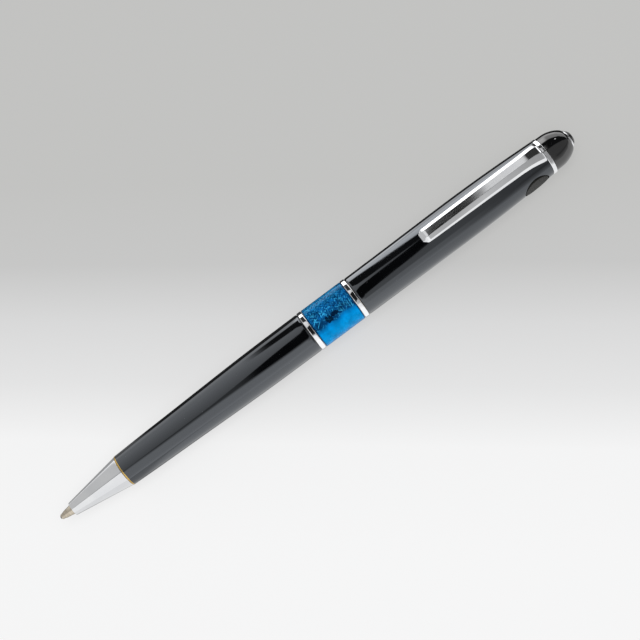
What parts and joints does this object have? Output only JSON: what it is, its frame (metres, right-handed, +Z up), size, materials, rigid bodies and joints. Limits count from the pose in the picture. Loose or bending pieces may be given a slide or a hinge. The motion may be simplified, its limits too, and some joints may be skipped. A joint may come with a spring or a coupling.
{
  "type": "pen",
  "caption": "Push-button ballpoint pen with a pocket clip, a side release button, a patterned centre band and a tube refill.",
  "frame": {"origin": "on the surface the pen lies on, under the middle of its length", "axes": "+X runs along the pen from the writing tip to the push button, +Z is up and the clip lies on top, and the release button faces -Y"},
  "size_m": [0.14, 0.01, 0.0114],
  "materials": {
    "chrome": "polished chrome plate",
    "black_lacquer": "high gloss black lacquer on brass",
    "blue_resin": "marbled blue under clear gloss",
    "black_plastic": "glossy black",
    "brass": "turned",
    "nickel_silver": "turned, warm grey",
    "steel": "bright",
    "carbide": "polished ball",
    "plug_plastic": "moulded",
    "housing_plastic": "moulded dark grey"
  },
  "bodies": {
    "rear_half": {"rear_barrel": "black_lacquer", "center_coupler": "brass", "center_band": "blue_resin", "rear_trim_ring": "chrome", "mechanism_housing": "housing_plastic", "latch_spring": "steel", "clip_ring": "chrome", "dome_cap": "black_lacquer", "button_bezel": "chrome"},
    "clip_arm": {"clip": "chrome"},
    "coupling_ring": {"front_trim_ring": "chrome"},
    "front_half": {"front_barrel": "black_lacquer", "nose_cone": "chrome", "return_spring": "steel"},
    "push_action": {"push_button": "black_plastic", "push_rod": "steel", "rod_stop_clip": "steel"},
    "refill": {"refill_tip": "nickel_silver", "refill_tube": "nickel_silver", "refill_plug": "plug_plastic"},
    "ball": {"writing_ball": "carbide"},
    "latch": {"release_button": "black_plastic", "latch_plate": "steel"}
  },
  "joints": [
    {"name": "button_travel", "type": "slide", "parent": "rear_half", "child": "push_action", "axis": [1, 0, 0], "range_m": [0, 0.005]},
    {"name": "refill_travel", "type": "slide", "parent": "rear_half", "child": "refill", "axis": [1, 0, 0], "range_m": [0, 0.005], "deforming": ["return_spring"]},
    {"name": "release_press", "type": "slide", "parent": "rear_half", "child": "latch", "axis": [0, 1, 0], "range_m": [0, 0.0006], "stiffness_N_per_m": 600, "springref_m": -0.0005, "deforming": ["latch_spring"]},
    {"name": "clip_flex", "type": "hinge", "parent": "rear_half", "child": "clip_arm", "pos_m": [0.06185, 0, 0.00933], "axis": [0, 1, 0], "range_deg": [0, 4], "stiffness_Nm_per_rad": 1.5, "springref_deg": -1.72},
    {"name": "front_thread_travel", "type": "slide", "parent": "rear_half", "child": "coupling_ring", "axis": [-1, 0, 0], "range_m": [0, 0.0075]},
    {"name": "front_unscrew", "type": "hinge", "parent": "coupling_ring", "child": "front_half", "pos_m": [0, 0, 0.00498], "axis": [-1, 0, 0], "range_deg": [0, 3600]},
    {"name": "ball_roll", "type": "hinge", "parent": "refill", "child": "ball", "pos_m": [-0.0695, 0, 0.00498], "axis": [0, 1, 0], "continuous": true}
  ],
  "couplings": [
    {"joint": "refill_travel", "follows": "button_travel", "ratio": 1},
    {"joint": "front_unscrew", "follows": "front_thread_travel", "rad_per_m": 8377.5}
  ]
}
